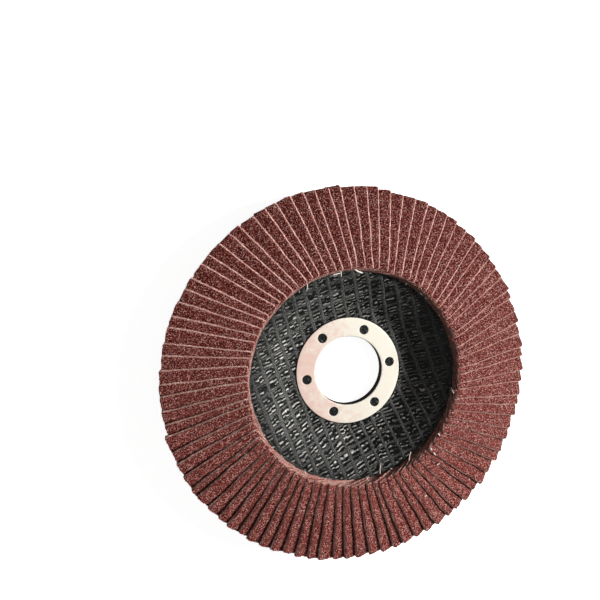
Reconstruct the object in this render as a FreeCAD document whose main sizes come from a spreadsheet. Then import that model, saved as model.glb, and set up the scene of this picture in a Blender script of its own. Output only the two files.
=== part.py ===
"""Conical flap disc for an angle grinder, 115 mm class, abrasive side up.

A depressed-centre backing plate of glass fibre and resin carries a pressed steel ring at its bore and,
on its conical outer seat, a bead of adhesive that holds the roots of a ring of overlapping cloth flaps.

Millimetres, +Z up. The origin is on the bore axis at the hub's back face, on which the disc rests.
"""
import FreeCAD, Part
import math
import os

import Sketcher

Vector = FreeCAD.Vector
document = FreeCAD.newDocument("flap_disc")

SIZES = {
    # Steel ring pressed on the hub, with a collar that lines the bore.
    "bore_diameter": 22.23,
    "ring_diameter": 34.4,
    "ring_metal": 0.6,
    "ring_inset": 0.25,
    "collar_bend_radius": 0.45,
    "collar_setback": 0.3,
    "collar_clearance": 0.05,
    "key_hole_diameter": 3.0,
    "key_hole_circle": 27.95,
    "key_hole_count": 6,
    "key_clearance": 0.05,
    "key_setback": 0.15,
    # Backing plate: flat hub, dished wall, conical seat for the flaps.
    "hub_thickness": 2.4,
    "hub_flat_diameter": 41.0,
    "crest_diameter": 59.0,
    "dish_depth": 6.65,
    "shell_thickness": 2.0,
    "plate_diameter": 108.0,
    "face_angle": 6.6,
    "hub_bend_radius": 5.0,
    "crest_bend_radius": 4.0,
    # Adhesive bead that holds the roots of the flaps.
    "bead_thickness": 0.9,
    "bead_margin": 1.1,
    "bead_end_slope": 0.5,
    "glue_line": 0.15,
    # Flaps: flat rectangles of abrasive cloth, each leaning on the next.
    "flap_count": 90,
    "flap_overhang": 3.7,
    "flap_width": 12.2,
    "flap_thickness": 0.62,
    "flap_gap": 0.04,
    "flap_lead": 0.55,
    "flap_scatter": 0.3,
    "flap_setback": 2.95,
    "flaps_per_group": 2,
}

sheet = document.addObject("Spreadsheet::Sheet", "Sizes")
for row, (alias, value) in enumerate(SIZES.items(), start=1):
    sheet.set("A%d" % row, alias)
    sheet.set("B%d" % row, str(value))
    sheet.setAlias("B%d" % row, alias)
document.recompute()


def size(alias):
    """Value of a sheet cell as a number."""
    return float(getattr(sheet, alias))


def cell(alias):
    """Sheet cell as it is written in an expression."""
    return "Sizes." + alias


# Formulas that several sketches share. The plate's shell is the front outline moved back by its
# thickness, so the corners at its back come from the angles of the dished wall and of the seat.
HUB_FLAT = cell("hub_flat_diameter") + " / 2"
CREST = cell("crest_diameter") + " / 2"
FLAP_ROOT = "(%s + %s)" % (CREST, cell("flap_setback"))
SHELL = cell("shell_thickness")
HUB = cell("hub_thickness")
SEAT_SLOPE = cell("face_angle") + " * 1 deg"
WALL_SLOPE = "atan(%s / (%s - %s))" % (cell("dish_depth"), CREST, HUB_FLAT)
CREST_HEIGHT = "(%s + %s)" % (HUB, cell("dish_depth"))
MITRE = "%s / (1 + cos(%s + %s))" % (SHELL, WALL_SLOPE, SEAT_SLOPE)
RING_FACE = "%s + %s - %s" % (HUB, cell("ring_metal"), cell("ring_inset"))
GOLDEN_ANGLE = math.pi * (3 - math.sqrt(5))


def seat_height(radius):
    """Formula for the height of the conical seat at a radius, which is a formula too."""
    return "%s - (%s - %s) * tan(%s)" % (CREST_HEIGHT, radius, CREST, SEAT_SLOPE)


def plane_of(body, role):
    """One of a body's own origin planes."""
    return next(item for item in body.Origin.OriginFeatures if item.Role == role)


def new_body(name):
    """Body with the name of its sub-part."""
    body = document.addObject("PartDesign::Body", name)
    body.Label = name
    return body


def new_sketch(body, name, role):
    """Sketch on one of the body's origin planes."""
    sketch = body.newObject("Sketcher::SketchObject", name)
    sketch.AttachmentSupport = (plane_of(body, role), [""])
    sketch.MapMode = "FlatFace"
    return sketch


def value_of(formula):
    """Value of a formula on the sheet's cells."""
    return float(sheet.evalExpression(formula))


def bind_point(sketch, geometry, point, across, up):
    """Tie a sketch point to the formulas of its two coordinates."""
    for kind, formula, axis in (("DistanceX", across, -2), ("DistanceY", up, -1)):
        if formula == "0":
            sketch.addConstraint(Sketcher.Constraint("PointOnObject", geometry, point, axis))
            continue
        index = sketch.addConstraint(Sketcher.Constraint(kind, -1, 1, geometry, point, value_of(formula)))
        sketch.setExpression("Constraints[%d]" % index, formula)


class Corner:
    """Corner of a section: formulas for its radius and height, and for its rounding if it has one."""

    def __init__(self, radius, height, rounding=None):
        self.radius = radius
        self.height = height
        self.rounding = rounding
        self.point = Vector(value_of(radius), value_of(height), 0)

    def trim(self, before, after):
        """Ends of the straight lines beside the corner, and its arc, between two other corners."""
        if self.rounding is None:
            return self.point, self.point, None
        inward = (before.point - self.point).normalize()
        outward = (after.point - self.point).normalize()
        half = inward.getAngle(outward) / 2
        arc_radius = value_of(self.rounding)
        first = self.point + inward * (arc_radius / math.tan(half))
        last = self.point + outward * (arc_radius / math.tan(half))
        middle = (inward + outward).normalize()
        centre = self.point + middle * (arc_radius / math.sin(half))
        closest = centre - middle * arc_radius
        return first, last, Part.Arc(first, closest, last)


def section_sketch(body, name, corners):
    """Closed outline in the XZ plane, of straight lines with rounded corners.

    Every corner is a point tied to its formulas. A rounded one is a construction point that the two
    lines beside it aim at, and an arc of the radius asked for joins them.
    """
    sketch = new_sketch(body, name, "XZ_Plane")
    after = corners[1:] + corners[:1]
    before = corners[-1:] + corners[:-1]
    ends = [corner.trim(b, a) for b, corner, a in zip(before, corners, after)]
    leaving = ends[1:] + ends[:1]
    sides = [Part.LineSegment(this[1], then[0]) for this, then in zip(ends, leaving)]
    lines = [sketch.addGeometry(side, False) for side in sides]
    for corner, trimmed, arriving, line in zip(corners, ends, lines[-1:] + lines[:-1], lines):
        first, last, arc_shape = trimmed
        if arc_shape is None:
            sketch.addConstraint(Sketcher.Constraint("Coincident", arriving, 2, line, 1))
            bind_point(sketch, line, 1, corner.radius, corner.height)
            continue
        vertex = sketch.addGeometry(Part.Point(corner.point), True)
        bind_point(sketch, vertex, 1, corner.radius, corner.height)
        sketch.addConstraint(Sketcher.Constraint("PointOnObject", vertex, 1, arriving))
        sketch.addConstraint(Sketcher.Constraint("PointOnObject", vertex, 1, line))
        arc = sketch.addGeometry(arc_shape, False)
        start = sketch.getPoint(arc, 1)
        near, far = (1, 2) if start.distanceToPoint(first) < start.distanceToPoint(last) else (2, 1)
        sketch.addConstraint(Sketcher.Constraint("Tangent", arriving, 2, arc, near))
        sketch.addConstraint(Sketcher.Constraint("Tangent", arc, far, line, 1))
        index = sketch.addConstraint(Sketcher.Constraint("Radius", arc, value_of(corner.rounding)))
        sketch.setExpression("Constraints[%d]" % index, corner.rounding)
    return sketch


def revolve(body, name, sketch):
    """Solid of revolution about the vertical axis of its section."""
    turn = body.newObject("PartDesign::Revolution", name)
    turn.Profile = sketch
    turn.ReferenceAxis = (sketch, ["V_Axis"])
    turn.Angle = 360
    sketch.Visibility = False
    document.recompute()
    return turn


def key_pattern(body, name, feature):
    """Repeat a feature round the circle of key holes."""
    pattern = body.newObject("PartDesign::PolarPattern", name)
    pattern.Originals = [feature]
    pattern.Axis = (feature.Profile[0], ["N_Axis"])
    pattern.Angle = 360
    pattern.setExpression("Occurrences", cell("key_hole_count"))
    body.Tip = pattern
    document.recompute()
    return pattern


def key_circle(body, name, height_formula, diameter_formula):
    """Sketch with one circle on the circle of key holes, at the height given."""
    sketch = new_sketch(body, name, "XY_Plane")
    sketch.setExpression("AttachmentOffset.Base.z", height_formula)
    centre = Vector(size("key_hole_circle") / 2, 0, 0)
    radius = value_of(diameter_formula) / 2
    circle = sketch.addGeometry(Part.Circle(centre, Vector(0, 0, 1), radius), False)
    bind_point(sketch, circle, 3, cell("key_hole_circle") + " / 2", "0")
    index = sketch.addConstraint(Sketcher.Constraint("Diameter", circle, 2 * radius))
    sketch.setExpression("Constraints[%d]" % index, diameter_formula)
    document.recompute()
    return sketch


def make_backing_plate():
    """Dished glass fibre plate, with a seat for the ring and the resin keys that fill its holes."""
    body = new_body("backing_plate")
    bore = "%s / 2 + %s + %s" % (cell("bore_diameter"), cell("ring_metal"), cell("collar_clearance"))
    ring_rim = "%s / 2 + %s" % (cell("ring_diameter"), cell("collar_clearance"))
    ring_seat = "%s - %s" % (HUB, cell("ring_inset"))
    plate_rim = cell("plate_diameter") + " / 2"
    hub_back = "%s + %s * tan(%s / 2) - (%s - %s) / tan(%s)" % (
        HUB_FLAT, SHELL, WALL_SLOPE, HUB, SHELL, WALL_SLOPE)
    crest_back = "%s + %s * (sin(%s) - sin(%s))" % (CREST, MITRE, WALL_SLOPE, SEAT_SLOPE)
    crest_back_height = "%s - %s * (cos(%s) + cos(%s))" % (CREST_HEIGHT, MITRE, WALL_SLOPE, SEAT_SLOPE)
    rim_back_height = "%s - %s / cos(%s)" % (seat_height(plate_rim), SHELL, SEAT_SLOPE)
    back_radius = "%s + %s" % (cell("hub_bend_radius"), SHELL)
    crest_radius = "%s + %s" % (cell("crest_bend_radius"), SHELL)
    sketch = section_sketch(body, "plate_section", [
        Corner(bore, "0"),
        Corner(hub_back, "0", back_radius),
        Corner(crest_back, crest_back_height, cell("crest_bend_radius")),
        Corner(plate_rim, rim_back_height),
        Corner(plate_rim, seat_height(plate_rim)),
        Corner(CREST, CREST_HEIGHT, crest_radius),
        Corner(HUB_FLAT, HUB, cell("hub_bend_radius")),
        Corner(ring_rim, HUB),
        Corner(ring_rim, ring_seat),
        Corner(bore, ring_seat),
    ])
    revolve(body, "plate_turn", sketch)
    key_diameter = "%s - 2 * %s" % (cell("key_hole_diameter"), cell("key_clearance"))
    key = body.newObject("PartDesign::Pad", "resin_key")
    key.Profile = key_circle(body, "key_outline", ring_seat, key_diameter)
    key.setExpression("Length", "%s - %s" % (cell("ring_metal"), cell("key_setback")))
    document.recompute()
    key_pattern(body, "resin_keys", key)
    return body


def make_bore_ring():
    """Pressed steel ring: a flange on the hub and a collar down the bore, with six key holes."""
    body = new_body("bore_ring")
    bore = cell("bore_diameter") + " / 2"
    collar = "%s / 2 + %s" % (cell("bore_diameter"), cell("ring_metal"))
    rim = cell("ring_diameter") + " / 2"
    under = "%s - %s" % (HUB, cell("ring_inset"))
    sketch = section_sketch(body, "ring_section", [
        Corner(bore, cell("collar_setback")),
        Corner(collar, cell("collar_setback")),
        Corner(collar, under),
        Corner(rim, under),
        Corner(rim, RING_FACE),
        Corner(bore, RING_FACE, cell("collar_bend_radius")),
    ])
    revolve(body, "ring_turn", sketch)
    hole = body.newObject("PartDesign::Pocket", "key_hole")
    hole.Profile = key_circle(body, "key_hole_outline", RING_FACE, cell("key_hole_diameter"))
    hole.Type = "Length"
    hole.setExpression("Length", "2 * " + cell("ring_metal"))
    document.recompute()
    key_pattern(body, "key_holes", hole)
    return body


def flap_tilt():
    """Tilt in radians at which neighbouring flaps clear each other by the flap gap at their roots.

    At a radius r the planes of neighbours lie 2 r sin(step / 2) (sin tilt cos a - cos tilt sin face sin a)
    apart, where a is the azimuth from the flap's own radius. That is least at the root's inner end.
    """
    half_step = math.pi / size("flap_count")
    inner = value_of(FLAP_ROOT)
    root = size("flap_width") / 2 - size("flap_lead") + size("flap_thickness")
    azimuth = math.atan2(root, inner)
    spacing = (size("flap_thickness") + size("flap_gap")) / (2 * inner * math.sin(half_step))
    across = math.cos(azimuth)
    along = math.sin(azimuth) * math.sin(math.radians(size("face_angle")))
    return math.asin(spacing / math.hypot(across, along)) + math.atan2(along, across)


def flap_placement(number):
    """Placement of a flap's box: along the seat, then across from its raised edge to its root.

    Each flap lies a little further in or out in its own plane than the one before, as cloth laid by a
    machine does, by a sine whose steps are the golden angle, so that no two neighbours match.
    """
    tilt = flap_tilt()
    slope = math.radians(size("face_angle"))
    along = Vector(math.cos(slope), 0, -math.sin(slope))
    seat_normal = Vector(math.sin(slope), 0, math.cos(slope))
    across = Vector(0, math.cos(tilt), 0) - seat_normal * math.sin(tilt)
    normal = along.cross(across)
    seat = value_of(seat_height(FLAP_ROOT))
    root = Vector(value_of(FLAP_ROOT), 0, seat) + seat_normal * size("glue_line")
    root += Vector(0, size("flap_width") / 2 * math.cos(tilt) - size("flap_lead"), 0)
    scatter = size("flap_scatter") * math.sin(number * GOLDEN_ANGLE)
    corner = root - across * (size("flap_width") + scatter)
    turned = FreeCAD.Placement(corner, FreeCAD.Rotation(along, across, normal, "ZXY"))
    azimuth = FreeCAD.Rotation(Vector(0, 0, 1), 360 * number / size("flap_count"))
    return FreeCAD.Placement(Vector(), azimuth).multiply(turned)


def make_flap(number):
    """One flap: a flat rectangle of abrasive cloth."""
    flap = document.addObject("Part::Box", "flap_%02d" % (number + 1))
    reach = "%s / 2 + %s - %s" % (cell("plate_diameter"), cell("flap_overhang"), FLAP_ROOT)
    flap.setExpression("Length", "(%s) / cos(%s)" % (reach, SEAT_SLOPE))
    flap.setExpression("Width", cell("flap_width"))
    flap.setExpression("Height", cell("flap_thickness"))
    flap.Placement = flap_placement(number)
    return flap


def make_flap_groups():
    """Ring of flaps, in groups of neighbours that share a node."""
    count = int(size("flap_count"))
    per_group = int(size("flaps_per_group"))
    flaps = [make_flap(number) for number in range(count)]
    groups = []
    for start in range(0, count, per_group):
        name = "flap_pair_%02d" % (start // per_group + 1)
        group = document.addObject("Part::Compound", name)
        group.Label = name
        group.Links = flaps[start:start + per_group]
        groups.append(group)
    return groups


def make_adhesive_bead(groups):
    """Conical bead of adhesive on the seat, with a slot for the root of every flap."""
    body = new_body("bead_blank")
    inner = "%s - %s" % (FLAP_ROOT, cell("bead_margin"))
    outer = "%s / 2 - %s" % (cell("plate_diameter"), cell("bead_margin"))
    inner_top = "%s + %s" % (inner, cell("bead_end_slope"))
    outer_top = "%s - %s" % (outer, cell("bead_end_slope"))
    rise = " + %s / cos(%s)" % (cell("bead_thickness"), SEAT_SLOPE)
    sketch = section_sketch(body, "bead_section", [
        Corner(inner, seat_height(inner)),
        Corner(outer, seat_height(outer)),
        Corner(outer_top, seat_height(outer_top) + rise),
        Corner(inner_top, seat_height(inner_top) + rise),
    ])
    revolve(body, "bead_turn", sketch)
    roots = document.addObject("Part::Compound", "flap_roots")
    roots.Links = groups
    bead = document.addObject("Part::Cut", "adhesive_bead")
    bead.Label = "adhesive_bead"
    bead.Base = body
    bead.Tool = roots
    return bead


def check_document():
    """Stop where a feature has failed."""
    for item in document.Objects:
        if "Invalid" in item.State or "Error" in item.State:
            raise RuntimeError("%s is %s" % (item.Name, item.State))


def export_parts(parts):
    """Check each sub-part's shape, then write it to a STEP file of its own."""
    for part in parts:
        if part.Shape.isNull() or not part.Shape.isValid():
            raise RuntimeError("%s has no valid shape" % part.Label)
    os.makedirs("parts", exist_ok=True)
    for part in parts:
        part.Shape.exportStep(os.path.join("parts", part.Label + ".step"))
        print(part.Label, "solids", len(part.Shape.Solids), "volume %.2f" % part.Shape.Volume)


backing_plate = make_backing_plate()
bore_ring = make_bore_ring()
flap_groups = make_flap_groups()
adhesive_bead = make_adhesive_bead(flap_groups)
document.recompute()
check_document()
export_parts([backing_plate, bore_ring, adhesive_bead] + flap_groups)
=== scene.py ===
"""Looks of a conical flap disc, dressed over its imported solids.

The disc lies abrasive side up. Each flap is a thin block of coated cloth laid in the place of its solid,
the dished plate is a turned shell with the relief of its glass fibre mesh, and the pressed ring, the resin
in its key holes, the squeezed-out adhesive and the loose cloth threads are pieces of their own.

Sizes of pieces are millimetres and become metres when a mesh is made. Sizes in finishes are metres.
"""

import logging
import math
from dataclasses import dataclass, field
from enum import Enum
from typing import Iterable, Sequence

import bpy
import numpy as np
from mathutils import Matrix, Vector


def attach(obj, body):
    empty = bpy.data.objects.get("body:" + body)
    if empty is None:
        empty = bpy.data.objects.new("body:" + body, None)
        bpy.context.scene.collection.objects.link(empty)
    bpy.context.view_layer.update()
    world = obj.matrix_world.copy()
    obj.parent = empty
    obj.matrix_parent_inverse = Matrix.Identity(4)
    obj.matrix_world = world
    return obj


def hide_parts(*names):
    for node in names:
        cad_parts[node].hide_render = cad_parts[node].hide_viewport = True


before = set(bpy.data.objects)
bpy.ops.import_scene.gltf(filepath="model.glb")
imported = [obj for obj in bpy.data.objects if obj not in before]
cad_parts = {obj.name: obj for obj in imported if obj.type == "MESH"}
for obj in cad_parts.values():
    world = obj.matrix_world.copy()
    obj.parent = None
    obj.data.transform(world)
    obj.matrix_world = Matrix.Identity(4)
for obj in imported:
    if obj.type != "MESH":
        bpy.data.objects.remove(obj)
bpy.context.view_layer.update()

MILLIMETRE = 0.001
BODY = "root"
log = logging.getLogger("flap_disc")


class Slot(Enum):
    """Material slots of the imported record."""

    RESIN = "glass_fibre_resin"
    STEEL = "plated_steel"
    ADHESIVE = "adhesive"
    CLOTH = "abrasive_cloth"


class Domain(Enum):
    """What a mesh attribute has a value for."""

    POINT = "POINT"
    FACE = "FACE"


def linear(code: str) -> tuple[float, float, float, float]:
    """Turn a screen colour into the linear colour that a shader takes.

    Args:
        code: Six hexadecimal digits after a hash sign.

    Returns:
        Red, green, blue and full alpha.
    """
    channels = np.array([int(code[start:start + 2], 16) for start in (1, 3, 5)]) / 255
    light = np.where(channels <= 0.04045, channels / 12.92, ((channels + 0.055) / 1.055) ** 2.4)
    return float(light[0]), float(light[1]), float(light[2]), 1.0


class Value:
    """Number, colour or vector that leaves a shader socket, with arithmetic that adds Math nodes."""

    def __init__(self, tree: "FinishTree", socket: bpy.types.NodeSocket) -> None:
        """Keep the socket and the tree that its nodes go into."""
        self.tree = tree
        self.socket = socket

    def math(self, operation: str, *operands: "Value | float") -> "Value":
        """Add one Math node.

        Args:
            operation: Name of the node's operation.
            operands: Values of its sockets, in their order.

        Returns:
            The node's result.
        """
        inputs = dict(enumerate(operands))
        node = self.tree.node("ShaderNodeMath", {"operation": operation}, inputs)
        return Value(self.tree, node.outputs[0])

    def __add__(self, other: "Value | float") -> "Value":
        """Sum."""
        return self.math("ADD", self, other)

    def __radd__(self, other: "Value | float") -> "Value":
        """Sum with a number on the left."""
        return self.math("ADD", other, self)

    def __sub__(self, other: "Value | float") -> "Value":
        """Difference."""
        return self.math("SUBTRACT", self, other)

    def __rsub__(self, other: "Value | float") -> "Value":
        """Difference from a number on the left."""
        return self.math("SUBTRACT", other, self)

    def __mul__(self, other: "Value | float") -> "Value":
        """Product."""
        return self.math("MULTIPLY", self, other)

    def __rmul__(self, other: "Value | float") -> "Value":
        """Product with a number on the left."""
        return self.math("MULTIPLY", other, self)

    def clamped(self) -> "Value":
        """Value held between 0 and 1."""
        return self.math("MINIMUM", self.math("MAXIMUM", self, 0.0), 1.0)

    def step(self, low: float, high: float) -> "Value":
        """Smooth rise from 0 to 1, or a fall where low is the larger.

        Args:
            low: Where it is 0.
            high: Where it is 1.

        Returns:
            3 t^2 - 2 t^3 of the clamped share of the way from low to high.
        """
        inputs = {"Value": self, "From Min": low, "From Max": high}
        node = self.tree.node("ShaderNodeMapRange", {"interpolation_type": "SMOOTHSTEP"}, inputs)
        return Value(self.tree, node.outputs[0])


class FinishTree:
    """Node tree of one material or of the world, filled through a single method for nodes."""

    def __init__(self, name: str, world: bool = False) -> None:
        """Start a material whose surface is one Principled shader, or a world of one Background shader.

        Args:
            name: Name of the material or of the world.
            world: Whether it is a world.
        """
        self.owner = (bpy.data.worlds if world else bpy.data.materials).new(name)
        self.owner.use_nodes = True
        self.nodes = self.owner.node_tree.nodes
        self.links = self.owner.node_tree.links
        self.surface = self.nodes["Background" if world else "Principled BSDF"]

    def node(self, kind: str, settings: dict | None = None, inputs: dict | None = None) -> bpy.types.Node:
        """Add a node.

        Args:
            kind: Blender's name for the type of node.
            settings: Its properties, which are set before its sockets.
            inputs: Values or links of its sockets, by name or by number.

        Returns:
            The new node.
        """
        node = self.nodes.new(kind)
        for name, setting in (settings or {}).items():
            setattr(node, name, setting)
        self.feed(node, inputs or {})
        return node

    def feed(self, node: bpy.types.Node, inputs: dict) -> None:
        """Set or link sockets of a node.

        Args:
            node: The node.
            inputs: Values, links or screen colours of its sockets, by name or by number.
        """
        for name, value in inputs.items():
            if isinstance(value, Value):
                self.links.new(value.socket, node.inputs[name])
            elif isinstance(value, str):
                node.inputs[name].default_value = linear(value)
            else:
                node.inputs[name].default_value = value

    def place(self) -> Value:
        """Object coordinates, which are metres in the part's frame."""
        return Value(self, self.node("ShaderNodeTexCoord").outputs["Object"])

    def axes(self, vector: Value) -> list[Value]:
        """The three numbers of a vector."""
        parts = self.node("ShaderNodeSeparateXYZ", None, {0: vector}).outputs
        return [Value(self, part) for part in parts]

    def seen(self) -> Value:
        """Tell a ray that shows a surface from one that only lights.

        Returns:
            1 for a ray from the camera, from a reflection or through glass, and 0 for any other.
        """
        rays = self.node("ShaderNodeLightPath").outputs
        kinds = [Value(self, rays[f"Is {kind} Ray"]) for kind in ("Camera", "Glossy", "Transmission")]
        return (kinds[0] + kinds[1] + kinds[2]).clamped()

    def attribute(self, name: str) -> Value:
        """Number that the mesh stores under a name."""
        return Value(self, self.node("ShaderNodeAttribute", {"attribute_name": name}).outputs["Fac"])

    def turned(self, vector: Value, degrees: float, stretch: tuple[float, float, float]) -> Value:
        """Vector turned about the axis of the disc and then stretched."""
        inputs = {"Vector": vector, "Rotation": (0.0, 0.0, math.radians(degrees)), "Scale": stretch}
        return Value(self, self.node("ShaderNodeMapping", None, inputs).outputs["Vector"])

    def noise(self, vector: Value, size: float, detail: float = 2.0, distortion: float = 0.0) -> Value:
        """Smooth noise from 0 to 1 whose features are about as wide as the size, in metres."""
        inputs = {"Vector": vector, "Scale": 1 / size, "Detail": detail, "Distortion": distortion}
        return Value(self, self.node("ShaderNodeTexNoise", None, inputs).outputs[0])

    def grains(self, vector: Value, size: float) -> tuple[Value, Value]:
        """Cells of about the size, in metres.

        Args:
            vector: Where the pattern is read.
            size: Spacing of the cells.

        Returns:
            Distance from the cell's own point, and a number of its own from 0 to 1.
        """
        node = self.node("ShaderNodeTexVoronoi", {"feature": "F1"}, {"Vector": vector, "Scale": 1 / size})
        own = self.node("ShaderNodeSeparateColor", None, {0: Value(self, node.outputs["Color"])})
        return Value(self, node.outputs["Distance"]), Value(self, own.outputs[0])

    def mix(self, factor: Value | float, low: Value | str, high: Value | str) -> Value:
        """Colour between two others."""
        node = self.node("ShaderNodeMix", {"data_type": "RGBA"}, {0: factor, 6: low, 7: high})
        return Value(self, node.outputs[2])

    def bump(self, height: Value, depth: float, strength: float = 1.0) -> Value:
        """Normal of a relief whose height goes from 0 to 1 over the depth, in metres."""
        inputs = {"Height": height, "Distance": depth, "Strength": strength}
        return Value(self, self.node("ShaderNodeBump", None, inputs).outputs["Normal"])

    def dress(self, **sockets: "Value | float | str") -> bpy.types.Material | bpy.types.World:
        """Feed the surface's sockets, named with underscores for spaces, and give the material or world."""
        self.feed(self.surface, {name.replace("_", " "): value for name, value in sockets.items()})
        return self.owner


@dataclass(frozen=True)
class CoatedCloth:
    """Brown fused grain on red-brown cloth, with pale threads in its cut edges."""

    grain: float = 0.00032
    batch: float = 0.008
    fray: float = 0.0005
    lint: float = 0.0007
    relief: float = 0.0003
    pit: str = "#3c0604"
    grit: str = "#e68478"
    # Painted highlight on the crowns of the largest grains.
    painted_highlight: str = "#ffd8cc"
    weave: str = "#9f665b"
    edge: str = "#c39c90"
    thread: str = "#e9c4b8"
    # Painted shade at the foot of a cut edge, in the gap between flaps.
    gap_shade: str = "#6b2c23"
    end: str = "#a8564a"
    ply: str = "#ffd5c8"
    back: str = "#5f2c23"

    def material(self) -> bpy.types.Material:
        """Colour the flap by "coated", "cut" and "end" of its faces and "level" of its points.

        The coated face is cells of grain: the nearer to a cell's middle and the larger the cell's own
        number, the paler, and the largest crowns get a painted highlight. A cut edge is weave with pale
        threads, darker towards its foot with painted shade of the gap between flaps, and the root shows the
        plies as pale lines.

        Returns:
            The material.
        """
        tree = FinishTree("coated_cloth")
        place = tree.place()
        distance, own = tree.grains(place, self.grain)
        fine = tree.noise(place, self.grain * 0.5, 2.0)
        batch = tree.noise(place, self.batch, 2.0)
        crown = distance.step(0.66, 0.16)
        share = (crown * (own * 0.95 + 0.25) + fine * 0.8 - 0.4).clamped()
        coated = tree.mix(share, self.pit, self.grit)
        # Painted highlight: the crowns of the largest grains take a pale colour.
        coated = tree.mix((own.step(0.62, 0.94) * crown * 0.9).clamped(), coated, self.painted_highlight)
        coated = tree.mix(batch * 0.2, coated, self.pit)
        fray = tree.noise(place, self.fray, 3.0)
        edge = tree.mix(fine.step(0.3, 0.6), self.weave, self.edge)
        edge = tree.mix(fray.step(0.5, 0.6), edge, self.thread)
        level = tree.attribute("level")
        # Towards its foot the cut edge fades to painted shade of the gap between flaps.
        edge = tree.mix(level.step(0.45, 0.85), self.gap_shade, edge)
        plies = level.step(0.8, 0.97) + (1 - level).step(0.93, 1.0) * 0.4
        end = tree.mix((plies * (0.25 + fray * 0.8)).clamped(), self.end, self.ply)
        cloth = tree.mix(tree.noise(place, self.lint, 3.0), self.back, self.end)
        colour = tree.mix(tree.attribute("coated"), cloth, coated)
        colour = tree.mix(tree.attribute("cut"), colour, edge)
        colour = tree.mix(tree.attribute("end"), colour, end)
        height = crown * (own * 0.7 + 0.3) + fine * 0.5
        rough = 0.58 - own * crown * 0.22
        return tree.dress(Base_Color=colour, Roughness=rough, Specular_IOR_Level=0.05,
                          Normal=tree.bump(height, self.relief))


@dataclass(frozen=True)
class MeshResin:
    """Black phenolic resin over a glass fibre mesh.

    The strands are grey, and the fine threads in the windows between them are rubbed bare here and there.
    Their
    paleness is partly painted light: stronger towards the lit side of the plate, and dimmed by painted shade
    near its crest.
    """

    turn: float = 11.0
    lump: float = 0.00095
    thread: float = 0.0004
    wear: float = 0.0035
    relief: float = 0.0003
    strand: str = "#6c6d6a"
    pool: str = "#080908"
    # Painted glint on the higher parts of the ladder.
    painted_glint: str = "#858581"
    # Bare fibre, partly a painted highlight.
    fibre: str = "#ddd7cf"
    # Radii over which painted shade near the crest grows, where the flaps shade the plate.
    crest_shade_start: float = 0.0255
    crest_shade_end: float = 0.0305
    # Where painted light towards the lit side of the plate grows, along x + 0.7 y.
    lit_side_start: float = 0.012
    lit_side_end: float = -0.026

    def material(self) -> bpy.types.Material:
        """Colour the plate by the attributes "strand" and "rib" of its points.

        The ladder is the rib and the lumps within a window. Its higher parts get a painted glint, and the
        highest are pale fibre, partly bare and partly a painted highlight, both times the share of painted
        light and shade at the place.

        Returns:
            The material.
        """
        tree = FinishTree("mesh_resin")
        place = tree.place()
        strand = tree.attribute("strand")
        rib = tree.attribute("rib")
        across = tree.turned(place, -self.turn, (1.0, 2.3, 1.0))
        along = tree.turned(place, -self.turn, (3.2, 1.0, 1.0))
        lumps = tree.noise(across, self.lump, 3.0, 1.2)
        threads = tree.noise(along, self.thread, 3.0)
        worn = tree.noise(place, self.wear, 2.0)
        x, y, _ = tree.axes(place)
        # Painted shade near the crest, under the flaps: it dims the strands, the ladder and the fibre.
        crest = (x * x + y * y).step(self.crest_shade_start**2, self.crest_shade_end**2)
        # Painted light: the ladder and the fibre are paler towards the lit side of the plate.
        side = (x + y * 0.7).step(self.lit_side_start, self.lit_side_end)
        painted_light_share = (side * 0.66 + 0.56) * (1 - crest * 0.45)
        shown = strand.step(0.24, 0.66) * (1 - crest * 0.35)
        # A narrow band between strand and window keeps the pool's black: a painted shadow along each strand.
        window = strand.step(0.36, 0.06)
        ladder = (rib * 0.75 + lumps * 0.6 - 0.1) * window
        colour = tree.mix((shown * threads.step(0.4, 0.62) * 0.9).clamped(), self.pool, self.strand)
        # Painted glint on the ladder's higher parts.
        colour = tree.mix((ladder.step(0.44, 0.68) * painted_light_share * 0.75).clamped(), colour, self.painted_glint)
        # Pale fibre where random wear bares it, partly a painted highlight.
        bared_and_lit = ladder.step(0.6, 0.86) * worn.step(0.34, 0.6) * painted_light_share * 0.85
        colour = tree.mix(bared_and_lit.clamped(), colour, self.fibre)
        height = ladder + threads * strand * 0.3
        rough = 0.26 + strand * 0.24 + lumps * 0.08
        return tree.dress(Base_Color=colour, Roughness=rough, Specular_IOR_Level=0.08,
                          Normal=tree.bump(height, self.relief))


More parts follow.
